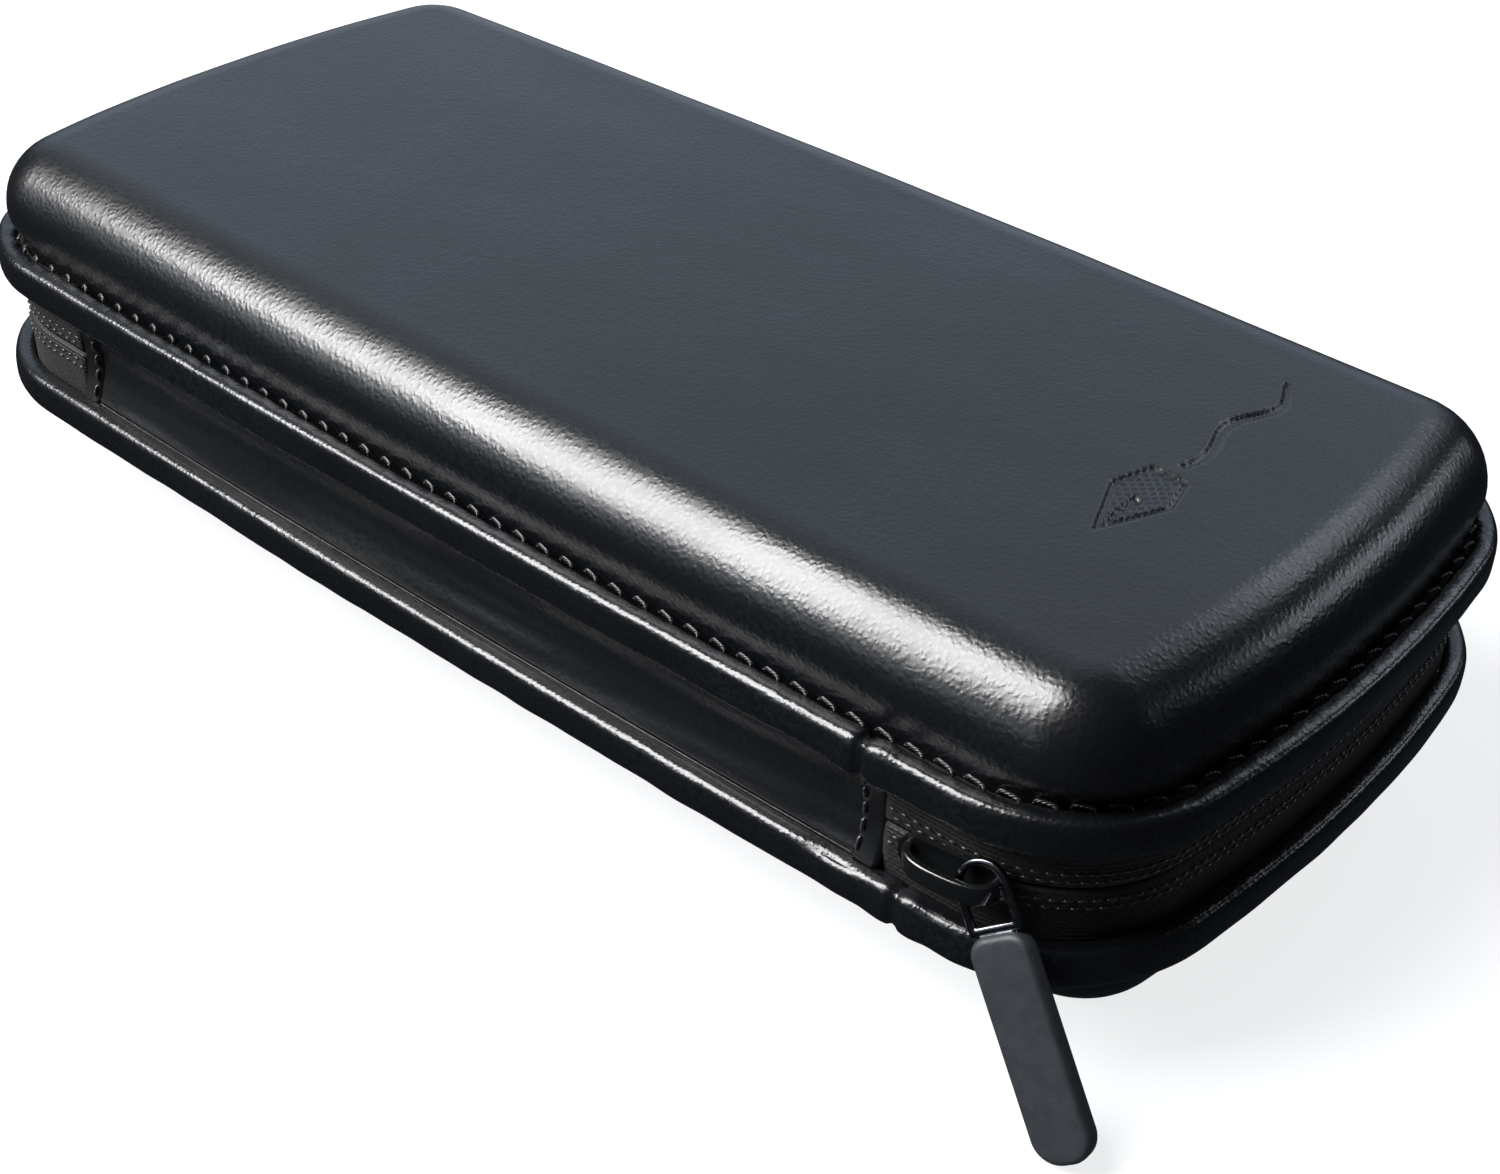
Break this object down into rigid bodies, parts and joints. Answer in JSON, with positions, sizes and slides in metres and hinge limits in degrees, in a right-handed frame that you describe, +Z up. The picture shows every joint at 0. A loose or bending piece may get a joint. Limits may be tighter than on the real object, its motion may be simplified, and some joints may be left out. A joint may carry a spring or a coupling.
{
  "type": "fountain pen case",
  "caption": "Hard-shell leather zip case with rolled rims, a folding leather spine and a padded inside with grooves and elastic loops for fountain pens.",
  "frame": {"origin": "middle of the flat underside, on the surface the case lies on", "axes": "+X along the case towards the end where the zip starts, +Z up through the lid, -Y towards the leather spine"},
  "size_m": [0.1983, 0.0988, 0.046],
  "materials": {
    "cover_leather": "smooth pebbled leather, semi-gloss",
    "rim_leather": "rolled leather, semi-gloss",
    "spine_leather": "soft folded leather, semi-gloss",
    "moulded_foam": "moulded EVA foam, matt",
    "lining_fabric": "brushed knit, matt",
    "filler_cord": "twisted cotton cord",
    "thread": "bonded nylon thread, glossy",
    "zip_tape": "woven polyester tape",
    "zip_coil": "nylon coil",
    "zip_stop": "crimped stop",
    "slider_metal": "dark enamel on zinc, gloss",
    "link_metal": "black nickel, bright",
    "grip_rubber": "moulded rubber, matt",
    "tray_flock": "flocked foam, matt",
    "elastic": "woven elastic",
    "pocket_fabric": "knit over board, matt"
  },
  "bodies": {
    "lower_case": {"lower_cover": "cover_leather", "lower_shell": "moulded_foam", "lower_lining": "lining_fabric", "lower_rim": "rim_leather", "lower_rim_cord": "filler_cord", "lower_stitches": "thread", "lower_zip_tape": "zip_tape", "lower_zip_coil": "zip_coil", "lower_zip_stop_front": "zip_stop", "lower_zip_stop_back": "zip_stop", "pen_tray": "tray_flock", "pen_loop_1": "elastic", "pen_loop_2": "elastic", "pen_loop_3": "elastic"},
    "spine": {"spine_panel": "spine_leather", "spine_lining": "lining_fabric", "spine_end_back": "spine_leather", "spine_end_front": "spine_leather"},
    "lid": {"lid_cover": "cover_leather", "lid_shell": "moulded_foam", "lid_lining": "lining_fabric", "lid_rim": "rim_leather", "lid_rim_cord": "filler_cord", "lid_stitches": "thread", "lid_zip_tape": "zip_tape", "lid_zip_coil": "zip_coil", "lid_zip_stop_front": "zip_stop", "lid_zip_stop_back": "zip_stop", "lid_pocket": "pocket_fabric", "lid_pocket_binding": "elastic"},
    "zip_slider": {"slider_body": "slider_metal", "slider_crown": "slider_metal"},
    "zip_pull": {"pull_link": "link_metal", "pull_grip": "grip_rubber"}
  },
  "joints": [
    {"name": "spine_fold", "type": "hinge", "parent": "lower_case", "child": "spine", "pos_m": [0, -0.0465, 0.0145], "axis": [1, 0, 0], "range_deg": [0, 90]},
    {"name": "lid_fold", "type": "hinge", "parent": "spine", "child": "lid", "pos_m": [0, -0.0465, 0.0315], "axis": [1, 0, 0], "range_deg": [0, 90]},
    {"name": "slider_corner", "type": "hinge", "parent": "lower_case", "child": "zip_slider", "pos_m": [0.07573, -0.02524, 0.023], "axis": [0, 0, 1], "range_deg": [0, 75]},
    {"name": "pull_swing", "type": "hinge", "parent": "zip_slider", "child": "zip_pull", "pos_m": [0.08088, -0.04504, 0.02365], "axis": [0.1324, -0.9418, 0.309], "range_deg": [-34, 54]}
  ],
  "couplings": [
    {"joint": "spine_fold", "follows": "lid_fold", "ratio": 1}
  ]
}
